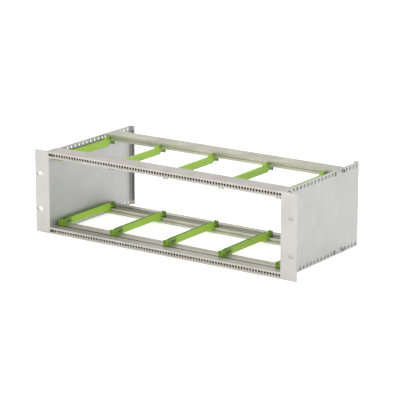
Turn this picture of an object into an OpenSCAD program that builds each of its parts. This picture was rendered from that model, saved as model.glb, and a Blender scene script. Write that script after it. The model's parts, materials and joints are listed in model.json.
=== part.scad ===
// Subrack card cage for plug-in circuit cards: two side panels with rack flanges, four extruded rails
// with perforated threaded strips, and five pairs of clip-in card guides.
// X runs across the rack, Y from the front to the back, Z up. All sizes are in millimetres.
// The origin is under the middle of the cage, on the surface that it stands on.

/* [Cage] */
// Overall width across both rack flanges
rack_w = 482.6; // [475:0.1:500]
// Height of the side panels and the flanges
cage_h = 132.5; // [110:0.1:270]
// Depth from the front face to the rear edges
cage_d = 220; // [200:1:400]
// Clear width between the side panels, and the length of every rail
clear_w = 429; // [424:0.1:432]

/* [Side panels] */
// Thickness of the side panel sheet
panel_t = 3; // [2:0.1:4]
// Width of the stiffening fold along the rear edge
fold_w = 5.5; // [3:0.5:12]
// Inside radius of the fold
fold_r = 1; // [0.5:0.1:2]
// Diameter of the holes in the two rows
row_hole_d = 6; // [3:0.1:7]
// Distance between the holes of a row
row_pitch = 10; // [8:0.5:16]
// Distance of a row from the nearest edge of the panel
row_edge = 4.5; // [4:0.1:5]
// Distance of the first hole from the front face
row_start = 30; // [30:1:50]
// Length of the spare rail hole ahead of each rear rail
spare_hole_l = 8; // [7:0.1:8.5]
// Diameter of the pilot hole behind each rail fixing
pilot_d = 2.6; // [2:0.1:3]

/* [Rack flanges] */
// Thickness of the flange's front plate
plate_t = 3; // [2:0.1:4]
// Thickness of the leg on the side panel
leg_t = 2.5; // [2:0.1:4]
// Depth of the leg, from the front face
leg_d = 26.8; // [26.6:0.1:28]
// Radius in the corner between plate and leg
root_r = 1.5; // [0.5:0.1:3]
// Distance between the rack slots across the rack
slot_span_x = 465.1; // [463:0.1:468]
// Distance between the rack slots of one flange
slot_span_z = 57.15; // [30:0.05:90]
// Length of a rack slot
slot_l = 10.3; // [8:0.1:12]
// Width of a rack slot
slot_w = 6.8; // [5:0.1:8]

/* [Rails] */
// Height of every rail
rail_h = 10; // [9.5:0.1:12]
// Depth of the front rail's outer wall
front_rail_d = 30.5; // [28:0.5:34]
// Depth of the front rail's solid block
front_block_d = 18; // [17.5:0.1:20]
// Width of the front rail's guide channel
front_channel_w = 18; // [16.5:0.5:20]
// Thickness of the front rail's lip
front_lip_t = 3.3; // [2:0.1:5]
// Depth of every guide channel below the rail's inner face
channel_depth = 2.5; // [2:0.1:3]
// Thickness of the channel's floor
floor_t = 2; // [1.6:0.1:2.4]
// Distance of the rear rail from the front face
rear_rail_y = 148.2; // [130:0.1:160]
// Thickness of the rear rail's lip
rear_lip_t = 2; // [1.5:0.1:3]
// Width of the rear rail's guide channel
rear_channel_w = 10.8; // [10:0.1:14]
// Depth of the rear rail's solid block
rear_block_d = 16.7; // [16:0.1:20]
// Height of the latch groove in the rear rail's front wall
latch_groove_h = 2; // [1.5:0.1:2.5]
// Depth of the latch groove
latch_groove_d = 1.9; // [1:0.1:2]
// Wall around the hollow chambers of the rails
rail_wall = 1.8; // [1.2:0.1:2]
// Height of the mouth of the strip groove
groove_mouth_h = 4.5; // [3.8:0.1:5]
// Thickness of the two lips that hold the strip
groove_lip_t = 2.1; // [1.5:0.1:2.4]

/* [Threaded strips] */
// Distance between two holes, one horizontal pitch of the rack
pitch = 5.08; // [5:0.01:5.1]
// Number of threaded holes in a strip
strip_holes = 83; // [20:1:83]
// Height of a strip
strip_h = 6.8; // [6:0.1:7]
// Thickness of a strip
strip_t = 2; // [1.5:0.1:2.1]
// Diameter of a threaded hole
thread_d = 2.5; // [2:0.1:3]
// Diameter of the countersink at the mouth of a hole
sink_d = 3.5; // [3.1:0.1:4]
// Sideways offset of the strips from the middle of the cage
strip_shift = 3.4; // [0:0.1:3.6]

/* [Card guides] */
// Distance between neighbouring guides, in horizontal pitches
guide_step = 20; // [10:1:20]
// Sideways offset of the middle guide
guide_shift = -5.65; // [-6:0.05:6]
// Width of a guide between its heads
guide_w = 5; // [4:0.1:6]
// Width of the card slot
card_slot_w = 2; // [1.6:0.1:2.4]
// Depth of the card slot
card_slot_depth = 2.5; // [1.5:0.1:5]
// Height of a guide above the channel's floor
guide_h = 11; // [8:0.1:14]
// Width of the front head
front_head_w = 8; // [7:0.1:9]
// Width of the rear head
rear_head_w = 6.4; // [5.5:0.1:8]
// Height of the heads' prongs above the channel's floor
prong_h = 10.5; // [6:0.1:12]

/* [Screws] */
// Thread diameter of the rail screws
screw_d = 4; // [3:0.1:4]
// Length of a screw below its head
screw_l = 14; // [10:0.5:20]
// Head diameter of the front screws
front_head_d = 7.5; // [6:0.1:8]
// Head diameter of the rear screws
rear_head_d = 6.5; // [6:0.1:8]
// Head height of all screws
head_h = 2.3; // [1.5:0.1:3]

/* [Hidden] */
$fn = 48;

// Running room between pieces that slide or clip together
fit = 0.15;
// Extra length of a cutting shape past the surface that it cuts
cut = 1;

inner_x = clear_w / 2;
outer_x = inner_x + panel_t;
leg_x = outer_x + leg_t;
floor_z = rail_h - channel_depth;

// The strip groove: a mouth, a wider chamber for the strip, and room for the ends of long screws
chamber_h = strip_h + 2 * fit;
chamber_d = strip_t + 2 * fit;
groove_z = rail_h / 2;
screw_room_h = 3.6;
screw_room_d = 3.4;

// The rail screws sit on the line of the panels' hole rows
screw_z = row_edge;
front_screw_y = 14.8;
rear_screw_y = rear_rail_y + 22.3;
spare_hole_y = rear_rail_y + 0.3;
pilot_step_y = 10;
pilot_step_z = -2.2;
screw_hole_d = screw_d + 2 * fit;
strip_l = strip_holes * pitch;

// Card guide stations along Y, in the channels of the front and rear rails
front_channel_y = front_block_d;
front_lip_y = front_channel_y + front_channel_w;
front_rail_end = front_lip_y + front_lip_t;
rear_channel_y = rear_rail_y + rear_lip_t;
rear_block_y = rear_channel_y + rear_channel_w;
rear_rail_end = rear_block_y + rear_block_d;
guide_y0 = front_channel_y + 1.5;
guide_y1 = rear_block_y - 1;
hook_l = 6.5;
nose = 0.8;
prong_l = 3;
prong_w = 2.5;

// Shifts the build coordinates, which start at the front face, to the middle of the cage
module in_cage() {
    translate([0, -cage_d / 2, 0]) children();
}

// Repeats the bottom of the cage at its top, upside down
module at_top() {
    translate([0, 0, cage_h]) mirror([0, 0, 1]) children();
}

// Repeats the right side of the cage on its left
module at_left() {
    mirror([1, 0, 0]) children();
}

// Extrudes a section drawn in Y and Z along X, centred
module along_x(length) {
    rotate([90, 0, 90]) linear_extrude(height = length, center = true) children();
}

// A hole or rod along X, centred on a point
module rod_x(x, y, z, d, length) {
    translate([x, y, z]) rotate([0, 90, 0]) cylinder(d = d, h = length, center = true);
}

// ---------- side panels ----------

// Section of the panel in X and Y: a flat sheet whose rear edge is folded inwards
module panel_section() {
    bend = fold_r + panel_t;
    translate([inner_x, plate_t]) square([panel_t, cage_d - plate_t - bend]);
    translate([inner_x - fold_w, cage_d - panel_t]) square([fold_w - fold_r, panel_t]);
    intersection() {
        translate([inner_x - fold_r, cage_d - bend]) difference() {
            circle(r = bend);
            circle(r = fold_r);
        }
        translate([inner_x - fold_r, cage_d - bend]) square([bend, bend]);
    }
}

// One row of holes near the bottom edge; the holes near the rear rail give way to its fixings
module hole_row() {
    last = cage_d - panel_t - fold_r - row_hole_d / 2;
    for (y = [row_start : row_pitch : last])
        if (y < spare_hole_y - 6 || y > rear_screw_y + 6)
            rod_x(inner_x + panel_t / 2, y, screw_z, row_hole_d, panel_t + 2 * cut);
}

// The upright oblong hole for a rail in another place
module spare_hole() {
    straight = spare_hole_l - row_hole_d;
    for (side = [-1, 1])
        rod_x(inner_x + panel_t / 2, spare_hole_y, screw_z + side * straight / 2 + 0.3, row_hole_d,
              panel_t + 2 * cut);
    translate([inner_x + panel_t / 2, spare_hole_y, screw_z + 0.3])
        cube([panel_t + 2 * cut, row_hole_d, straight], center = true);
}

// The holes through which the rails are screwed on, and the small pilot hole behind each station
module rail_fixings() {
    middle = inner_x + panel_t / 2;
    through = panel_t + 2 * cut;
    for (y = [front_screw_y, rear_screw_y])
        rod_x(middle, y, screw_z, screw_hole_d, through);
    for (y = [front_screw_y, spare_hole_y])
        rod_x(middle, y + pilot_step_y, screw_z + pilot_step_z, pilot_d, through);
}

module side_panel() {
    color("#c7c7c6") difference() {
        linear_extrude(height = cage_h) panel_section();
        hole_row();
        at_top() hole_row();
        spare_hole();
        at_top() spare_hole();
        rail_fixings();
        at_top() rail_fixings();
    }
}

// ---------- rack flanges ----------

// Section of the flange in X and Y: the front plate, the leg and the rounded corner between them
module flange_section() {
    translate([inner_x, 0]) square([rack_w / 2 - inner_x, plate_t]);
    translate([outer_x, 0]) square([leg_t, leg_d]);
    difference() {
        translate([leg_x, plate_t]) square(root_r);
        translate([leg_x + root_r, plate_t + root_r]) circle(r = root_r);
    }
}

// One rack slot, its length across the rack
module rack_slot(z) {
    straight = slot_l - slot_w;
    translate([slot_span_x / 2, plate_t / 2, z]) rotate([90, 0, 0]) {
        for (side = [-1, 1])
            translate([side * straight / 2, 0, 0])
                cylinder(d = slot_w, h = plate_t + 2 * cut, center = true);
        cube([straight, slot_w, plate_t + 2 * cut], center = true);
    }
}

module leg_holes() {
    middle = outer_x + leg_t / 2;
    rod_x(middle, front_screw_y, screw_z, screw_hole_d, leg_t + 2 * cut);
    rod_x(middle, front_screw_y + pilot_step_y, screw_z + pilot_step_z, pilot_d, leg_t + 2 * cut);
}

module rack_flange() {
    color("#d5d6d0") difference() {
        linear_extrude(height = cage_h) flange_section();
        for (side = [-1, 1])
            rack_slot(cage_h / 2 + side * slot_span_z / 2);
        leg_holes();
        at_top() leg_holes();
    }
}

// ---------- rails ----------

// The strip groove as seen from the side, opening towards -Y at y = 0
module strip_groove(room) {
    translate([-cut, groove_z - groove_mouth_h / 2]) square([groove_lip_t + 2 * cut, groove_mouth_h]);
    translate([groove_lip_t, groove_z - chamber_h / 2]) square([chamber_d, chamber_h]);
    translate([groove_lip_t + chamber_d - fit, groove_z - screw_room_h / 2])
        square([room + fit, screw_room_h]);
}

// The front rail: strip groove in front, then a screw channel, then the guide channel and its lip
module front_rail_section() {
    difference() {
        polygon([
            [0, 0], [front_rail_d, 0], [front_rail_d, floor_z - floor_t],
            [front_rail_end, floor_z - floor_t], [front_rail_end, rail_h], [front_lip_y, rail_h],
            [front_lip_y, floor_z], [front_channel_y, floor_z], [front_channel_y, rail_h], [0, rail_h],
        ]);
        strip_groove(screw_room_d);
        translate([front_screw_y, screw_z]) circle(d = screw_hole_d);
        translate([front_channel_y + rail_wall, rail_wall])
            square([front_rail_d - front_channel_y - 2 * rail_wall, floor_z - floor_t - rail_wall]);
    }
}

// The rear rail: latch groove in its front wall, guide channel, then the block with the strip groove
module rear_rail_section() {
    difference() {
        polygon([
            [rear_rail_y, 0], [rear_rail_end, 0], [rear_rail_end, rail_h], [rear_block_y, rail_h],
            [rear_block_y, floor_z], [rear_channel_y, floor_z], [rear_channel_y, rail_h],
            [rear_rail_y, rail_h],
        ]);
        translate([rear_rail_end, 0]) mirror([1, 0]) strip_groove(0);
        translate([rear_screw_y, screw_z]) circle(d = screw_hole_d);
        translate([rear_rail_y - cut, groove_z - latch_groove_h / 2])
            square([latch_groove_d + cut, latch_groove_h]);
        translate([rear_rail_y + latch_groove_d + rail_wall, rail_wall])
            square([rear_block_y - rear_rail_y - latch_groove_d - rail_wall,
                    floor_z - floor_t - rail_wall]);
    }
}

module front_rail() {
    color("#bdbab0") along_x(clear_w) front_rail_section();
}

module rear_rail() {
    color("#b9b8ae") along_x(clear_w) rear_rail_section();
}

// ---------- threaded strips ----------

// A flat strip lying in its groove, with one threaded and countersunk hole at each pitch
module threaded_strip() {
    sink = (sink_d - thread_d) / 2;
    first = -strip_l / 2 + pitch / 2;
    color("#8d8c86") translate([strip_shift, 0, 0]) difference() {
        translate([-strip_l / 2, 0, -strip_h / 2]) cube([strip_l, strip_t, strip_h]);
        for (hole = [0 : strip_holes - 1])
            translate([first + hole * pitch, 0, 0]) rotate([-90, 0, 0]) {
                translate([0, 0, -cut]) cylinder(d = thread_d, h = strip_t + 2 * cut, $fn = 24);
                cylinder(d1 = sink_d, d2 = thread_d, h = sink, $fn = 24);
            }
    }
}

module front_strip() {
    translate([0, groove_lip_t + fit, groove_z]) threaded_strip();
}

module rear_strip() {
    translate([0, rear_rail_end - groove_lip_t - fit, groove_z]) mirror([0, 1, 0]) threaded_strip();
}

// ---------- card guides ----------

// Side view of a guide in Y and Z: it lies in both channels, straddles both lips and hooks behind them
module guide_side() {
    seat_z = floor_z + fit;
    over_lip = rail_h + fit;
    hook_z = floor_z - floor_t - 1.1;
    under_z = floor_z - floor_t - fit;
    front_back = front_rail_end + fit;
    rear_front = rear_rail_y - fit;
    latch_top = groove_z + latch_groove_h / 2 - fit;
    latch_low = groove_z - latch_groove_h / 2 + fit;
    latch_y = rear_rail_y + latch_groove_d - 0.6;
    top_z = floor_z + guide_h;
    head_z = floor_z + 5.5;
    polygon([
        [guide_y0, seat_z], [front_lip_y - fit, seat_z], [front_lip_y - fit, over_lip],
        [front_back, over_lip], [front_back, under_z], [front_back - nose, under_z],
        [front_back, hook_z], [front_back + hook_l - 2, hook_z], [front_back + hook_l, seat_z],
        [rear_front - hook_l - 4, seat_z], [rear_front - hook_l - 2, latch_low],
        [latch_y, latch_low], [latch_y, latch_top], [rear_front, latch_top],
        [rear_front, over_lip], [rear_channel_y + fit, over_lip], [rear_channel_y + fit, seat_z],
        [guide_y1, seat_z], [guide_y1, head_z], [guide_y1 - 10, head_z], [guide_y1 - 14, top_z],
        [guide_y0 + 14, top_z], [guide_y0 + 10, head_z], [guide_y0, head_z],
    ]);
}

// A pair of upright prongs beside the mouth of the card slot
module prongs(y, width) {
    for (side = [-1, 1])
        translate([side * (width - prong_w) / 2 - prong_w / 2, y, floor_z + fit])
            cube([prong_w, prong_l, prong_h - fit]);
}

// The wide base of a head, in the channel of the rail
module head_base(y0, y1, width) {
    translate([-width / 2, y0, floor_z + fit]) cube([width, y1 - y0, 3.2]);
}

module card_guide() {
    lead = 2;
    slot_z = floor_z + guide_h - card_slot_depth;
    color("#8cbe32") difference() {
        union() {
            along_x(guide_w) guide_side();
            head_base(guide_y0, front_lip_y - fit, front_head_w);
            head_base(rear_channel_y + fit, guide_y1, rear_head_w);
            prongs(guide_y0, front_head_w);
            prongs(guide_y1 - prong_l, rear_head_w);
        }
        translate([-card_slot_w / 2, guide_y0 - cut, slot_z])
            cube([card_slot_w, guide_y1 - guide_y0 + 2 * cut, card_slot_depth + cut]);
        translate([0, guide_y0, slot_z]) linear_extrude(height = card_slot_depth + cut)
            polygon([
                [-card_slot_w / 2 - lead / 2, -cut], [card_slot_w / 2 + lead / 2, -cut],
                [card_slot_w / 2, 5], [-card_slot_w / 2, 5],
            ]);
    }
}

// Guides are counted from the left, and the third stands nearest the middle
module guide_at(number) {
    translate([guide_shift + (number - 3) * guide_step * pitch, 0, 0]) card_guide();
}

// ---------- screws ----------

// A pan-head screw along X whose head rests on the plane x = 0, with a cross recess
module screw(head_d) {
    recess = head_h * 0.6;
    color("#3d3c38") difference() {
        rotate([0, 90, 0]) {
            translate([0, 0, -screw_l]) cylinder(d = screw_d, h = screw_l + fit);
            cylinder(d = head_d, h = head_h / 2);
            translate([0, 0, head_h / 2]) cylinder(d1 = head_d, d2 = head_d - head_h, h = head_h / 2);
        }
        for (turn = [0, 90])
            translate([head_h, 0, 0]) rotate([turn, 0, 0])
                cube([2 * recess, head_d * 0.6, head_d * 0.14], center = true);
    }
}

module front_screw() {
    translate([leg_x, front_screw_y, screw_z]) screw(front_head_d);
}

module rear_screw() {
    translate([outer_x, rear_screw_y, screw_z]) screw(rear_head_d);
}

module top_and_bottom() {
    children();
    at_top() children();
}

in_cage() at_left() side_panel();  // side_panel_left
in_cage() side_panel();  // side_panel_right
in_cage() at_left() rack_flange();  // rack_flange_left
in_cage() rack_flange();  // rack_flange_right
in_cage() at_top() front_rail();  // front_rail_top
in_cage() front_rail();  // front_rail_bottom
in_cage() at_top() rear_rail();  // rear_rail_top
in_cage() rear_rail();  // rear_rail_bottom
in_cage() at_top() front_strip();  // front_strip_top
in_cage() front_strip();  // front_strip_bottom
in_cage() at_top() rear_strip();  // rear_strip_top
in_cage() rear_strip();  // rear_strip_bottom
in_cage() at_top() guide_at(1);  // card_guide_top_1
in_cage() at_top() guide_at(2);  // card_guide_top_2
in_cage() at_top() guide_at(3);  // card_guide_top_3
in_cage() at_top() guide_at(4);  // card_guide_top_4
in_cage() at_top() guide_at(5);  // card_guide_top_5
in_cage() guide_at(1);  // card_guide_bottom_1
in_cage() guide_at(2);  // card_guide_bottom_2
in_cage() guide_at(3);  // card_guide_bottom_3
in_cage() guide_at(4);  // card_guide_bottom_4
in_cage() guide_at(5);  // card_guide_bottom_5
in_cage() at_left() top_and_bottom() front_screw();  // front_screws_left
in_cage() top_and_bottom() front_screw();  // front_screws_right
in_cage() at_left() top_and_bottom() rear_screw();  // rear_screws_left
in_cage() top_and_bottom() rear_screw();  // rear_screws_right
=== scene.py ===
# %% [markdown]
# # Dressing a card cage
#
# This lesson takes the finished model of a rack card cage and gives it its looks. The cage is two
# aluminium side panels with rack flanges, four extruded aluminium rails, steel strips full of small
# threaded holes, and ten green plastic guides that hold the circuit cards.
#
# The solids come in at their real size and are never moved. Every finish is a small network of shader
# nodes that starts from what the real surface is and how it was made, and each pattern in it is sized
# from a length in millimetres.

# %% Load the cage
import bmesh
import bpy
import json
import math
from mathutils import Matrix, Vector


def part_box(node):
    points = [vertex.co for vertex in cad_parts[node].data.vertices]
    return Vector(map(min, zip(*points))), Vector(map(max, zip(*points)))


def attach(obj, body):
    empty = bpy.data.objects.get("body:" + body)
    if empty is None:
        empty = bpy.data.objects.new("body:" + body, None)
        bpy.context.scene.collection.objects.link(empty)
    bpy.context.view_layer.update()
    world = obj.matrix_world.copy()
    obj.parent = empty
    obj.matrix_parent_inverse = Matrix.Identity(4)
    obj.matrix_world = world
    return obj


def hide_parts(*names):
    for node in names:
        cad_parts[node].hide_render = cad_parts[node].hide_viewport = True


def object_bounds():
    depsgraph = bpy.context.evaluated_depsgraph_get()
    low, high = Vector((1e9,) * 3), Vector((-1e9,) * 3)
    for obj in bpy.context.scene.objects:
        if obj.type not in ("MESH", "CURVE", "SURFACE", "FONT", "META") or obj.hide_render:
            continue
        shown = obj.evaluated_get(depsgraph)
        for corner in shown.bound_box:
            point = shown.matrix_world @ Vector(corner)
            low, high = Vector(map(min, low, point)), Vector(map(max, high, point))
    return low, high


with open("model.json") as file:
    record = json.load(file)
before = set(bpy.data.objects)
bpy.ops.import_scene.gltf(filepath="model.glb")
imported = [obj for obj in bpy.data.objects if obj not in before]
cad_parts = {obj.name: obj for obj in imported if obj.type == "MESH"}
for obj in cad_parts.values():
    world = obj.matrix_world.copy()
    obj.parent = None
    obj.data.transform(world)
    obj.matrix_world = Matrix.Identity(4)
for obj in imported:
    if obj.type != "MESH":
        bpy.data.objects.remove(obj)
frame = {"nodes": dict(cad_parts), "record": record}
cad_low, cad_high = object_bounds()
MM = 0.001
middle_z = (cad_low.z + cad_high.z) / 2
print("pieces loaded:", len(frame["nodes"]))
print("cage size in mm:", [round(length / MM, 1) for length in cad_high - cad_low])

# %% [markdown]
# ## Three helpers
#
# Colours are picked on a screen, as sRGB hex values, but Blender's shaders reckon in linear light, so
# one function converts them. Without it every grey would come out too pale.
#
# The second function adds a shader node, sets its properties and fills its sockets, either with a
# plain value or with a link from another node. The third starts a material with its surface shader and
# its output. With these three a finish reads from top to bottom, in the order in which the real
# surface was made.

# %% Colour and node helpers
def linear(hex_colour):
    """An sRGB hex colour such as c7c7c6 as linear red, green, blue and alpha."""
    parts = [int(hex_colour[at:at + 2], 16) / 255 for at in (0, 2, 4)]
    curve = [part / 12.92 if part <= 0.04045 else ((part + 0.055) / 1.055) ** 2.4 for part in parts]
    return (*curve, 1.0)


def add(tree, kind, settings=None, inputs=None):
    """Adds one node. A value in inputs that is a socket is linked, and any other is set."""
    made = tree.nodes.new(kind)
    for name, value in (settings or {}).items():
        setattr(made, name, value)
    for key, value in (inputs or {}).items():
        if isinstance(value, bpy.types.NodeSocket):
            tree.links.new(value, made.inputs[key])
        else:
            made.inputs[key].default_value = value
    return made


def start_material(name):
    """A new material with an empty tree."""
    material = bpy.data.materials.new(name)
    material.use_nodes = True
    material.node_tree.nodes.clear()
    return material, material.node_tree


print("grey c7c7c6 in linear light:", [round(part, 3) for part in linear("c7c7c6")])

# %% [markdown]
# ## What all these surfaces share
#
# Seen close up, each surface of the cage varies in three ways: a pattern drawn out in the direction in
# which it was rolled, extruded or filled, faint clouds where it was handled, and edges that catch the
# light. The first function below gives any such pattern, from its size in millimetres and how far it
# is drawn out along each axis.
#
# The second finds the edges. A sawn or punched edge is never perfectly sharp: it is broken by a few
# tenths of a millimetre, and there the coating is thin and rubbed bright. The function compares the
# true normal with one that is rounded over the nearby edge, and where they part, there is an edge.

# %% Patterns and edges
EVERY_WAY = (1.0, 1.0, 1.0)


def variation(tree, size_mm, drawn=EVERY_WAY, band=(0.3, 0.7), gives=(0.0, 1.0)):
    """Cloudy variation about size_mm across; the part of it inside band comes out as gives."""
    place = add(tree, "ShaderNodeTexCoord").outputs["Object"]
    stretched = add(tree, "ShaderNodeVectorMath", {"operation": "MULTIPLY"}, {0: place, 1: drawn})
    cloud = add(tree, "ShaderNodeTexNoise", inputs={
        "Vector": stretched.outputs["Vector"], "Scale": 1 / (size_mm * MM), "Detail": 3.0})
    cut_off = add(tree, "ShaderNodeMapRange", inputs={
        "Value": cloud.outputs["Fac"], "From Min": band[0], "From Max": band[1],
        "To Min": gives[0], "To Max": gives[1]})
    return cut_off.outputs["Result"]


def broken_edges(tree, radius_mm):
    """The normal of a solid whose edges are broken by radius_mm, and a mask of those edges."""
    rounded = add(tree, "ShaderNodeBevel", {"samples": 6}, {"Radius": radius_mm * MM}).outputs["Normal"]
    flat = add(tree, "ShaderNodeNewGeometry").outputs["Normal"]
    same = add(tree, "ShaderNodeVectorMath", {"operation": "DOT_PRODUCT"}, {0: rounded, 1: flat})
    mask = add(tree, "ShaderNodeMapRange", inputs={
        "Value": same.outputs["Value"], "From Min": 0.99, "From Max": 0.83})
    return rounded, mask.outputs["Result"]


def where_on_part(tree):
    """X, Y and Z of the point, in metres from the middle of the cage's base."""
    place = add(tree, "ShaderNodeTexCoord").outputs["Object"]
    return add(tree, "ShaderNodeSeparateXYZ", inputs={"Vector": place}).outputs


def from_mid_height(tree, z):
    """Height above or below the middle of the cage: the top is the bottom turned over."""
    offset = add(tree, "ShaderNodeMath", {"operation": "SUBTRACT"}, {0: z, 1: middle_z})
    return add(tree, "ShaderNodeMath", {"operation": "ABSOLUTE"}, {0: offset.outputs[0]}).outputs[0]


print("height of the middle in mm:", round(middle_z / MM, 2))

# %% [markdown]
# ## Clear anodised aluminium
#
# The panels are aluminium sheet, and the flanges and rails are aluminium extrusions. All are
# anodised: an acid bath grows a clear, hard oxide skin on the bare metal. It gives the eye a satin
# grey that never mirrors anything, with a slight milkiness, so the shader is mostly metal but not all.
#
# Sheet shows the fine vertical lines of rolling and brushing. An extrusion shows long lines along its
# length, left by the die that it was pushed through. Both are drawn coarser than they are, so that they
# still show from a few metres away.
#
# On the side where the guides clip in, a rail also shows narrow dark lines where its channels and steps
# fall into shade, and paler strips where it catches the light. They are painted as bands of colour along
# the rail, painted shade and painted highlight, and the solids stay as they are.

# %% Aluminium finish
CLOUDS_MM = 34.0
SAWN_EDGE_MM = 0.35
LINE_DEPTH = 0.012 * MM
WORN_EDGE = "efeeea"


def anodised_aluminium(name, pale, deep, drawn, line_mm, satin, bands=()):
    """Satin aluminium from a pale and a deep grey; satin is its roughness, bands run along X."""
    material, tree = start_material(name)
    lines = variation(tree, line_mm, drawn)
    clouds = variation(tree, CLOUDS_MM, band=(0.35, 0.7))
    rounded, edges = broken_edges(tree, SAWN_EDGE_MM)

    skin = add(tree, "ShaderNodeMix", {"data_type": "RGBA"},
               {"Factor": clouds, 6: linear(deep), 7: linear(pale)}).outputs[2]
    faint_lines = add(tree, "ShaderNodeMath", {"operation": "MULTIPLY"}, {0: lines, 1: 0.3}).outputs[0]
    lined = add(tree, "ShaderNodeMix", {"data_type": "RGBA"},
                {"Factor": faint_lines, 6: skin, 7: linear(deep)}).outputs[2]
    rubbed = add(tree, "ShaderNodeMath", {"operation": "MULTIPLY"}, {0: edges, 1: 0.55}).outputs[0]
    colour = add(tree, "ShaderNodeMix", {"data_type": "RGBA"},
                 {"Factor": rubbed, 6: lined, 7: linear(WORN_EDGE)}).outputs[2]

    place = where_on_part(tree)
    guide_side = add(tree, "ShaderNodeMath", {"operation": "LESS_THAN"},
                     {0: from_mid_height(tree, place["Z"]), 1: guide_side_reach}).outputs[0]
    # Bands of painted shade and painted highlight, kept to the side where the guides clip in.
    for low, high, tint in bands:
        inside = add(tree, "ShaderNodeMath", {"operation": "COMPARE"},
                     {0: place["Y"], 1: (low + high) / 2, 2: (high - low) / 2}).outputs[0]
        shown = add(tree, "ShaderNodeMath", {"operation": "MULTIPLY"},
                    {0: inside, 1: guide_side}).outputs[0]
        colour = add(tree, "ShaderNodeMix", {"data_type": "RGBA"},
                     {"Factor": shown, 6: colour, 7: linear(tint)}).outputs[2]

    matt = add(tree, "ShaderNodeMapRange", inputs={
        "Value": lines, "To Min": satin - 0.06, "To Max": satin + 0.08}).outputs["Result"]
    surface = add(tree, "ShaderNodeBump", inputs={
        "Height": lines, "Distance": LINE_DEPTH, "Normal": rounded}).outputs["Normal"]
    shader = add(tree, "ShaderNodeBsdfPrincipled", inputs={
        "Base Color": colour, "Metallic": 0.75, "Roughness": matt, "Normal": surface})
    add(tree, "ShaderNodeOutputMaterial", inputs={"Surface": shader.outputs["BSDF"]})
    return material


print("clouds and broken edges of the aluminium in mm:", CLOUDS_MM, SAWN_EDGE_MM)

# %% [markdown]
# The bands are measured from an edge of their piece, in millimetres. The dark ones are painted shade and
# the pale ones painted highlight. The front rail has a dark one along the rear edge of its solid block, a
# second and narrower one in the channel behind it, and then the pale one. The rear rail has a dark one on
# top of its thin front lip, and a narrow pale one and a wide dark one along the near edge of the solid
# block behind the channel. A side panel has a single band of painted shade, which draws the front of its
# folded rear edge darker than the sheet.

# %% Aluminium pieces
ALONG_RAIL = (0.01, 1.0, 1.0)
UP_THE_SHEET = (1.0, 1.0, 0.02)
RAIL_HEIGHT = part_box("front_rail_bottom")[1].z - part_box("front_rail_bottom")[0].z
guide_side_reach = (cad_high.z - cad_low.z) / 2 - 0.7 * RAIL_HEIGHT

front_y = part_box("front_rail_bottom")[0].y
rear_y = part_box("rear_rail_bottom")[0].y
# Painted shade for the dark lines along a rail's channels and steps.
SHADE_LINE = "2b2824"
# Painted shade on the front of a side panel's folded rear edge.
FOLD_SHADE = "7d7d7a"
PANEL_THICKNESS = 3.0
# Painted highlight for the pale strips where a rail catches the light.
LIT_STRIP = "d3d0c6"


def bands_from(edge, steps):
    """Bands in metres, from steps in millimetres behind an edge that is given in metres."""
    return [(edge + low * MM, edge + high * MM, tint) for low, high, tint in steps]


front_bands = bands_from(front_y, [(15.4, 18.2, SHADE_LINE), (25.2, 26.4, SHADE_LINE), (26.4, 36.2, LIT_STRIP)])
rear_bands = bands_from(rear_y, [(0.2, 2.1, SHADE_LINE), (12.6, 13.0, LIT_STRIP), (13.4, 17.4, SHADE_LINE)])

panel_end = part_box("side_panel_right")[1].y
sheet_bands = bands_from(panel_end, [(-PANEL_THICKNESS - 0.05, -PANEL_THICKNESS + 0.05, FOLD_SHADE)])
sheet_finish = anodised_aluminium(
    "clear_anodised_sheet", "bcbcbb", "b5b5b4", UP_THE_SHEET, 0.9, 0.46, sheet_bands)
flange_finish = anodised_aluminium(
    "clear_anodised_angle", "c2c1bb", "b8b7b1", UP_THE_SHEET, 0.8, 0.42)
front_rail_finish = anodised_aluminium(
    "clear_anodised_front_rail", "c6c2ba", "b4b0a7", ALONG_RAIL, 0.7, 0.40, front_bands)
rear_rail_finish = anodised_aluminium(
    "clear_anodised_rear_rail", "c6c5b3", "b0af9f", ALONG_RAIL, 0.7, 0.40, rear_bands)
print("bands on the front and rear rails:", len(front_bands), len(rear_bands))

# %% [markdown]
# ## Zinc plated steel
#
# The threaded strips are rolled steel, plated with a thin coat of zinc so that they don't rust. New
# zinc is a light, slightly warm grey with a fine crystal speckle and faint stains. The speckle is drawn
# coarser than real crystals are. The rail screws are plated in the same way, only duller.
#
# Hardly any light comes back out of a small hole, so the holes of a strip look almost black on it, and
# so does the recess of a screw head. The finish paints this shade in, from a mask of dark spots: for a
# strip it finds the nearest hole from the pitch of the holes, and for a screw it measures the distance
# from the screw's axis. A spot of painted shade is drawn a little wider than the countersink, so that it
# holds at a distance.

# %% Steel finish
SPECKLE_MM = 0.5
STAINS_MM = 9.0
PUNCHED_EDGE_MM = 0.2
SPECKLE_DEPTH = 0.012 * MM
HOLE_SHADE = "1d1a17"


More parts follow.
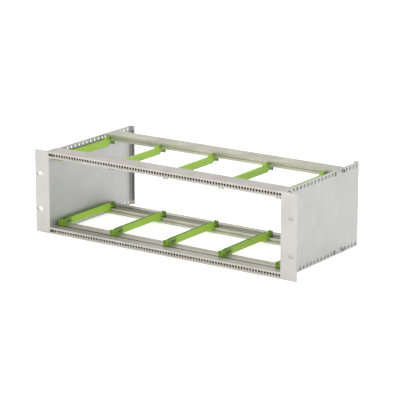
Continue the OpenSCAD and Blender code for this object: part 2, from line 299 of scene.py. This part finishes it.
def plated_steel(name, pale, deep, satin, metal, dark_spots):
    """Plated steel with a fine speckle; dark_spots is a function that gives their mask."""
    material, tree = start_material(name)
    speckle = variation(tree, SPECKLE_MM, band=(0.45, 0.8))
    stains = variation(tree, STAINS_MM, band=(0.35, 0.65))
    rounded, edges = broken_edges(tree, PUNCHED_EDGE_MM)

    zinc = add(tree, "ShaderNodeMix", {"data_type": "RGBA"},
               {"Factor": stains, 6: linear(deep), 7: linear(pale)}).outputs[2]
    faint_speckle = add(tree, "ShaderNodeMath", {"operation": "MULTIPLY"},
                        {0: speckle, 1: 0.25}).outputs[0]
    grained = add(tree, "ShaderNodeMix", {"data_type": "RGBA"},
                  {"Factor": faint_speckle, 6: zinc, 7: linear(deep)}).outputs[2]
    rubbed = add(tree, "ShaderNodeMath", {"operation": "MULTIPLY"}, {0: edges, 1: 0.5}).outputs[0]
    bright = add(tree, "ShaderNodeMix", {"data_type": "RGBA"},
                 {"Factor": rubbed, 6: grained, 7: linear(pale)}).outputs[2]
    # Painted shade in the holes and the screw recesses.
    colour = add(tree, "ShaderNodeMix", {"data_type": "RGBA"},
                 {"Factor": dark_spots(tree), 6: bright, 7: linear(HOLE_SHADE)}).outputs[2]

    matt = add(tree, "ShaderNodeMapRange", inputs={
        "Value": speckle, "To Min": satin - 0.05, "To Max": satin + 0.1}).outputs["Result"]
    surface = add(tree, "ShaderNodeBump", inputs={
        "Height": speckle, "Distance": SPECKLE_DEPTH, "Normal": rounded}).outputs["Normal"]
    shader = add(tree, "ShaderNodeBsdfPrincipled", inputs={
        "Base Color": colour, "Metallic": metal, "Roughness": matt, "Normal": surface})
    add(tree, "ShaderNodeOutputMaterial", inputs={"Surface": shader.outputs["BSDF"]})
    return material


print("speckle and stains of the zinc in mm:", SPECKLE_MM, STAINS_MM)

# %% Dark spots
HOLE_PITCH = 5.08 * MM
HOLE_SPOT = 1.95 * MM
RECESS_SPOT = 1.7 * MM
strip_low, strip_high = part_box("front_strip_bottom")
first_hole = strip_low.x + HOLE_PITCH / 2
strip_offset = middle_z - (strip_low.z + strip_high.z) / 2


def near_axis(tree, across, up, radius):
    """1 within a radius of an axis, from the offsets across it and up from it."""
    offset = add(tree, "ShaderNodeCombineXYZ", inputs={"X": across, "Y": up})
    distance = add(tree, "ShaderNodeVectorMath", {"operation": "LENGTH"},
                   {0: offset.outputs["Vector"]}).outputs["Value"]
    return add(tree, "ShaderNodeMath", {"operation": "LESS_THAN"}, {0: distance, 1: radius}).outputs[0]


def strip_holes(tree):
    """Every hole of a strip, out to a little past its countersink."""
    place = where_on_part(tree)
    along = add(tree, "ShaderNodeMath", {"operation": "SUBTRACT"},
                {0: place["X"], 1: first_hole}).outputs[0]
    across = add(tree, "ShaderNodeMath", {"operation": "WRAP"},
                 {0: along, 1: HOLE_PITCH / 2, 2: -HOLE_PITCH / 2}).outputs[0]
    up = add(tree, "ShaderNodeMath", {"operation": "SUBTRACT"},
             {0: from_mid_height(tree, place["Z"]), 1: strip_offset}).outputs[0]
    return near_axis(tree, across, up, HOLE_SPOT)


def screw_recesses(tree):
    """The middle of every screw head; the screws of one side stand at a front and a rear station."""
    place = where_on_part(tree)
    spots = 0.0
    for node in ("front_screws_right", "rear_screws_right"):
        low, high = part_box(node)
        head_radius = (high.y - low.y) / 2
        screw_offset = (high.z - low.z) / 2 - head_radius
        across = add(tree, "ShaderNodeMath", {"operation": "SUBTRACT"},
                     {0: place["Y"], 1: (low.y + high.y) / 2}).outputs[0]
        up = add(tree, "ShaderNodeMath", {"operation": "SUBTRACT"},
                 {0: from_mid_height(tree, place["Z"]), 1: screw_offset}).outputs[0]
        spots = add(tree, "ShaderNodeMath", {"operation": "MAXIMUM"},
                    {0: spots, 1: near_axis(tree, across, up, RECESS_SPOT)}).outputs[0]
    return spots


print("radius of the dark spots in mm:", round(HOLE_SPOT / MM, 2), round(RECESS_SPOT / MM, 2))

# %% Steel pieces
strip_finish = plated_steel("zinc_plated_strip", "ebe6dc", "d2ccc2", 0.45, 0.2, strip_holes)
screw_finish = plated_steel("zinc_plated_screw", "a3a29d", "8d8c87", 0.45, 0.6, screw_recesses)
print("holes in a strip:", round((strip_high.x - strip_low.x) / HOLE_PITCH))

# %% [markdown]
# ## Moulded green plastic
#
# The card guides are injection moulded in green plastic: hot plastic is pressed into a steel mould and
# copies the fine texture of its walls, which is drawn coarser here than it is. Some light enters the
# plastic and comes out again nearby. The heads are drawn in a deeper green as painted shade, and faint
# flow marks of that deeper green run along each guide.
#
# The card slot is a narrow trench along the top of a guide. Light goes in and little comes out, so it
# is painted as a dark line of shade, and the floor of each pocket in the cheeks gets the same painted
# shade. The function finds the slot from the distance between the guides.

# %% Plastic finish
CHEEK_REACH = 4.0 * MM
POCKET_DEPTH = 0.9 * MM
ON_THE_FACE = 0.1 * MM
HEAD_BLEND = 3 * MM
MOULD_TEXTURE_MM = 0.35
FLOW_MM = 12.0
MOULDED_EDGE_MM = 0.3


def moulded_plastic(name, pale, head_shade_and_flow, shade, first_x, step, slot_reach, slot_half, body_from, body_to):
    """Green plastic, pale with deeper flow marks; painted shade at the heads, in the card slot and
    pockets.
    """
    material, tree = start_material(name)
    spark = variation(tree, MOULD_TEXTURE_MM)
    flow = variation(tree, FLOW_MM, (1.0, 0.25, 1.0), gives=(0.0, 0.2))
    rounded = broken_edges(tree, MOULDED_EDGE_MM)[0]

    x, y, z = where_on_part(tree)
    middle = (body_from + body_to) / 2
    off_middle = add(tree, "ShaderNodeMath", {"operation": "SUBTRACT"}, {0: y, 1: middle}).outputs[0]
    off_middle = add(tree, "ShaderNodeMath", {"operation": "ABSOLUTE"}, {0: off_middle}).outputs[0]
    # Painted shade: the heads blend into the deeper green.
    head = add(tree, "ShaderNodeMapRange", inputs={
        "Value": off_middle, "From Min": (body_to - body_from) / 2 - HEAD_BLEND,
        "From Max": (body_to - body_from) / 2 + HEAD_BLEND}).outputs["Result"]
    shade_and_flow_mask = add(tree, "ShaderNodeMath", {"operation": "MAXIMUM"}, {0: head, 1: flow}).outputs[0]
    plastic = add(tree, "ShaderNodeMix", {"data_type": "RGBA"},
                  {"Factor": shade_and_flow_mask, 6: linear(pale), 7: linear(head_shade_and_flow)}).outputs[2]

    along = add(tree, "ShaderNodeMath", {"operation": "SUBTRACT"}, {0: x, 1: first_x}).outputs[0]
    across = add(tree, "ShaderNodeMath", {"operation": "WRAP"},
                 {0: along, 1: step / 2, 2: -step / 2}).outputs[0]
    in_width = add(tree, "ShaderNodeMath", {"operation": "COMPARE"},
                   {0: across, 1: 0.0, 2: slot_half}).outputs[0]
    in_height = add(tree, "ShaderNodeMath", {"operation": "LESS_THAN"},
                    {0: from_mid_height(tree, z), 1: slot_reach}).outputs[0]
    in_slot = add(tree, "ShaderNodeMath", {"operation": "MULTIPLY"},
                  {0: in_width, 1: in_height}).outputs[0]
    beside = add(tree, "ShaderNodeMath", {"operation": "ABSOLUTE"}, {0: across}).outputs[0]
    # Painted shade on the floor of each cheek pocket.
    pocket_floor = add(tree, "ShaderNodeMath", {"operation": "COMPARE"},
                       {0: beside, 1: CHEEK_REACH - POCKET_DEPTH, 2: ON_THE_FACE}).outputs[0]
    in_pocket = add(tree, "ShaderNodeMath", {"operation": "MULTIPLY"},
                    {0: pocket_floor, 1: head}).outputs[0]
    in_shade = add(tree, "ShaderNodeMath", {"operation": "MAXIMUM"}, {0: in_slot, 1: in_pocket}).outputs[0]
    colour = add(tree, "ShaderNodeMix", {"data_type": "RGBA"},
                 {"Factor": in_shade, 6: plastic, 7: linear(shade)}).outputs[2]

    gloss = add(tree, "ShaderNodeMapRange", inputs={
        "Value": spark, "To Min": 0.34, "To Max": 0.48}).outputs["Result"]
    surface = add(tree, "ShaderNodeBump", inputs={
        "Height": spark, "Distance": 0.01 * MM, "Normal": rounded}).outputs["Normal"]
    shader = add(tree, "ShaderNodeBsdfPrincipled", inputs={
        "Base Color": colour, "Roughness": gloss, "Normal": surface,
        "Subsurface Weight": 0.12, "Subsurface Radius": (0.001, 0.0012, 0.0004),
        "Subsurface Scale": 1.0})
    add(tree, "ShaderNodeOutputMaterial", inputs={"Surface": shader.outputs["BSDF"]})
    return material


print("mould texture and flow marks in mm:", MOULD_TEXTURE_MM, FLOW_MM)

# %% Plastic pieces
guide_low, guide_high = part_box("card_guide_bottom_1")
next_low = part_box("card_guide_bottom_2")[0]
guide_middle = (guide_low.x + guide_high.x) / 2
guide_spacing = next_low.x - guide_low.x
CARD_SLOT_DEPTH = 2.5 * MM
slot_floor = middle_z - guide_high.z + CARD_SLOT_DEPTH
FRONT_HEAD = 24 * MM
REAR_HEAD = 14 * MM
CARD_SLOT_HALF = 1.05 * MM
CARD_SLOT_MARGIN = 0.05 * MM
# Pale green, the deeper green of the painted head shade and the flow marks, and the painted shade.
guide_finish = moulded_plastic(
    "moulded_green_plastic", "95bb31", "7aa32a", "46621b", guide_middle, guide_spacing,
    slot_floor + CARD_SLOT_MARGIN, CARD_SLOT_HALF, guide_low.y + FRONT_HEAD, guide_high.y - REAR_HEAD)
print("distance between guides in mm:", round(guide_spacing / MM, 1))

# %% [markdown]
# ## Cheeks on the front heads
#
# Behind its prongs, each guide widens into two cheeks that lie over the lip of the front rail. Each
# cheek has a shallow pocket in its side, which keeps the wall thin. The guide's own solid is kept, and
# the cheeks are joined to it with a boolean, so each guide stays one closed moulding.

# %% Sizes of the cheeks
CHEEK_FRONT = 3.6 * MM
CHEEK_BACK = 25.5 * MM
CHEEK_LIFT = 2.9 * MM
CHEEK_TOP = 9.9 * MM
SLOPE_LENGTH = 5 * MM
SLOPE_DROP = 4 * MM
CARD_SLOT_CUT = MM
# How far a solid that cuts runs past the faces that it opens, to the sides and upwards
PAST = MM
ABOVE_ALL = 5 * MM
POCKET_FRONT = 6 * MM
POCKET_BACK = 2 * MM
POCKET_LOW = 1.6 * MM
POCKET_HIGH = 1.8 * MM
RAIL_CHANNEL = 2.5 * MM
channel_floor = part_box("front_rail_bottom")[1].z - RAIL_CHANNEL
GUIDE_FOOT = channel_floor - guide_low.z
CARD_SLOT_FLOOR = guide_high.z - CARD_SLOT_DEPTH - channel_floor
print("height of the cheeks above the channel floor in mm:", round(CHEEK_TOP / MM, 1))

# %% Solids and booleans
def prism(name, outline, spans):
    """Closed prisms with one outline in Y and Z, each filling a span along X."""
    form = bmesh.new()
    for low, high in spans:
        near = [form.verts.new((high, y, z)) for y, z in outline]
        far = [form.verts.new((low, y, z)) for y, z in outline]
        form.faces.new(near)
        form.faces.new(reversed(far))
        for at in range(len(outline)):
            after = (at + 1) % len(outline)
            form.faces.new((near[after], near[at], far[at], far[after]))
    bmesh.ops.recalc_face_normals(form, faces=form.faces)
    mesh = bpy.data.meshes.new(name)
    form.to_mesh(mesh)
    form.free()
    solid = bpy.data.objects.new(name, mesh)
    bpy.context.scene.collection.objects.link(solid)
    return solid


def closed_copy(piece, name):
    """A copy of a piece whose corners are welded, so that booleans can work on it."""
    form = bmesh.new()
    form.from_mesh(piece.data)
    bmesh.ops.remove_doubles(form, verts=form.verts, dist=0.001 * MM)
    mesh = bpy.data.meshes.new(name)
    form.to_mesh(mesh)
    form.free()
    for leftover in [layer.name for layer in mesh.attributes if layer.name == "custom_normal"]:
        mesh.attributes.remove(mesh.attributes[leftover])
    copy = bpy.data.objects.new(name, mesh)
    bpy.context.scene.collection.objects.link(copy)
    return copy


def apply_boolean(solid, how, tool):
    """Joins the tool to the solid or cuts it away, and removes the tool."""
    step = solid.modifiers.new(how, "BOOLEAN")
    step.operation = how
    step.solver = "EXACT"
    step.object = tool
    bpy.context.view_layer.update()
    result = bpy.data.meshes.new_from_object(solid.evaluated_get(bpy.context.evaluated_depsgraph_get()))
    solid.modifiers.clear()
    solid.data = result
    bpy.data.objects.remove(tool)


print("meshes before the cheeks:", len(bpy.data.meshes))

# %% Cheeks
def add_cheeks(node):
    """The guide with cheeks and pockets, in place of the plain guide."""
    low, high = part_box(node)
    middle = (low.x + high.x) / 2
    on_top = low.z > middle_z
    seat, up = (high.z - GUIDE_FOOT, -1) if on_top else (low.z + GUIDE_FOOT, 1)

    def level(height):
        return seat + up * height

    front, back = low.y + CHEEK_FRONT, low.y + CHEEK_BACK
    cheeks = prism(node + "_cheeks", [
        (front, level(CHEEK_LIFT)), (back, level(CHEEK_LIFT)), (back, level(CHEEK_TOP)),
        (front + SLOPE_LENGTH, level(CHEEK_TOP)), (front, level(CHEEK_TOP - SLOPE_DROP)),
    ], [(middle - CHEEK_REACH, middle + CHEEK_REACH)])
    slot = prism(node + "_slot", [
        (front - PAST, level(CARD_SLOT_FLOOR)), (back + PAST, level(CARD_SLOT_FLOOR)),
        (back + PAST, level(CHEEK_TOP + ABOVE_ALL)), (front - PAST, level(CHEEK_TOP + ABOVE_ALL)),
    ], [(middle - CARD_SLOT_CUT, middle + CARD_SLOT_CUT)])
    near, far = front + POCKET_FRONT, back - POCKET_BACK
    bottom, top = level(CHEEK_LIFT + POCKET_LOW), level(CHEEK_TOP - POCKET_HIGH)
    pockets = prism(node + "_pockets", [(near, bottom), (far, bottom), (far, top), (near, top)], [
        (middle - CHEEK_REACH - PAST, middle - CHEEK_REACH + POCKET_DEPTH),
        (middle + CHEEK_REACH - POCKET_DEPTH, middle + CHEEK_REACH + PAST)])
    guide = closed_copy(frame["nodes"][node], node + "_moulding")
    apply_boolean(guide, "UNION", cheeks)
    apply_boolean(guide, "DIFFERENCE", slot)
    apply_boolean(guide, "DIFFERENCE", pockets)
    guide.data.name = node + "_moulding"
    guide.data.materials.clear()
    guide.data.materials.append(guide_finish)
    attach(guide, "root")
    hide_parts(node)
    return guide


guides = [add_cheeks(node) for node in sorted(frame["nodes"]) if node.startswith("card_guide")]
print("guides with cheeks:", len(guides), "faces of the first:", len(guides[0].data.polygons))

# %% [markdown]
# ## Each piece gets its finish
#
# The record of the model names a material slot for each piece. The table below gives every slot its
# finish, so that all the pieces that were made alike also look alike.

# %% Give each piece its finish
FINISHES = {
    "side_panel": sheet_finish,
    "rack_flange": flange_finish,
    "front_rail": front_rail_finish,
    "rear_rail": rear_rail_finish,
    "threaded_strip": strip_finish,
    "card_guide": guide_finish,
    "screws": screw_finish,
}
slot_of = {part["node"]: part["material_slot"] for part in frame["record"]["subparts"]}
for name, piece in frame["nodes"].items():
    piece.data.materials.clear()
    piece.data.materials.append(FINISHES[slot_of[name]])
print("pieces dressed:", len(frame["nodes"]))

# %% [markdown]
# ## A white studio
#
# A product like this is shown on plain white, with light from every side, so that no shadow hides its
# open frame. The floor is a wide white sheet of paper, lit a little from below, as on a light table,
# which keeps the paper white under the cage and hides most of the shadow there.

# %% Floor
FLOOR_WIDTH = 40.0
BELOW_THE_FEET = 0.2 * MM


def white_floor(width):
    """A wide white floor that the cage stands on."""
    half = width / 2
    mesh = bpy.data.meshes.new("floor")
    corners = [(-half, -half, 0), (half, -half, 0), (half, half, 0), (-half, half, 0)]
    mesh.from_pydata(corners, [], [(0, 1, 2, 3)])
    sheet = bpy.data.objects.new("floor", mesh)
    sheet.location.z = -BELOW_THE_FEET
    bpy.context.scene.collection.objects.link(sheet)
    material, tree = start_material("white_paper")
    shader = add(tree, "ShaderNodeBsdfPrincipled", inputs={
        "Base Color": linear("f4f4f4"), "Roughness": 0.9, "Specular IOR Level": 0.0,
        "Emission Color": linear("ffffff"), "Emission Strength": 0.45})
    add(tree, "ShaderNodeOutputMaterial", inputs={"Surface": shader.outputs["BSDF"]})
    mesh.materials.append(material)
    return sheet


floor = white_floor(FLOOR_WIDTH)
print("floor:", floor.name)

# %% [markdown]
# The light comes from a white room all round and from one large soft box in front, above the height of
# the eye. The soft box lifts the front faces and the strips in their grooves. The colours go to the
# screen as they are, without a film curve, because such a curve would turn the white paper grey.

# %% Light
room = bpy.data.worlds.new("white_room")
room.use_nodes = True
room_light = room.node_tree.nodes["Background"]
room_light.inputs["Color"].default_value = (1, 1, 1, 1)
room_light.inputs["Strength"].default_value = 1.0
bpy.context.scene.world = room
bpy.context.scene.view_settings.view_transform = "Standard"


def soft_box(name, place, aim, width, watts):
    """A square soft box that faces a point; places are in metres."""
    lamp = bpy.data.lights.new(name, "AREA")
    lamp.shape = "SQUARE"
    lamp.size = width
    lamp.energy = watts
    light = bpy.data.objects.new(name, lamp)
    light.location = place
    light.rotation_euler = (Vector(aim) - Vector(place)).to_track_quat("-Z", "Y").to_euler()
    bpy.context.scene.collection.objects.link(light)
    return light


front_light = soft_box("front_soft_box", (0.3, -2.2, 1.1), (0, 0, 0.05), 1.4, 12.0)
print("soft box at", [round(at, 2) for at in front_light.location])

# %% [markdown]
# ## The camera
#
# The camera looks from the right and a little above, so that the front face, the right panel and the
# inside of the left panel all show. It stands far away with a long lens, which keeps the rails almost
# parallel.

# %% Camera
AZIMUTH = math.radians(34.56)
ELEVATION = math.radians(15.01)
DISTANCE = 3.2246
AIM = Vector((0.00348, -0.010, 0.06555))
towards_camera = Vector((
    math.sin(AZIMUTH) * math.cos(ELEVATION),
    -math.cos(AZIMUTH) * math.cos(ELEVATION),
    math.sin(ELEVATION)))
lens = bpy.data.cameras.new("camera")
lens.sensor_width = 36.0
lens.lens = 187.63
camera = bpy.data.objects.new("camera", lens)
camera.location = AIM + towards_camera * DISTANCE
camera.rotation_euler = (-towards_camera).to_track_quat("-Z", "Y").to_euler()
bpy.context.scene.collection.objects.link(camera)
bpy.context.scene.camera = camera
print("camera at", [round(at, 3) for at in camera.location])
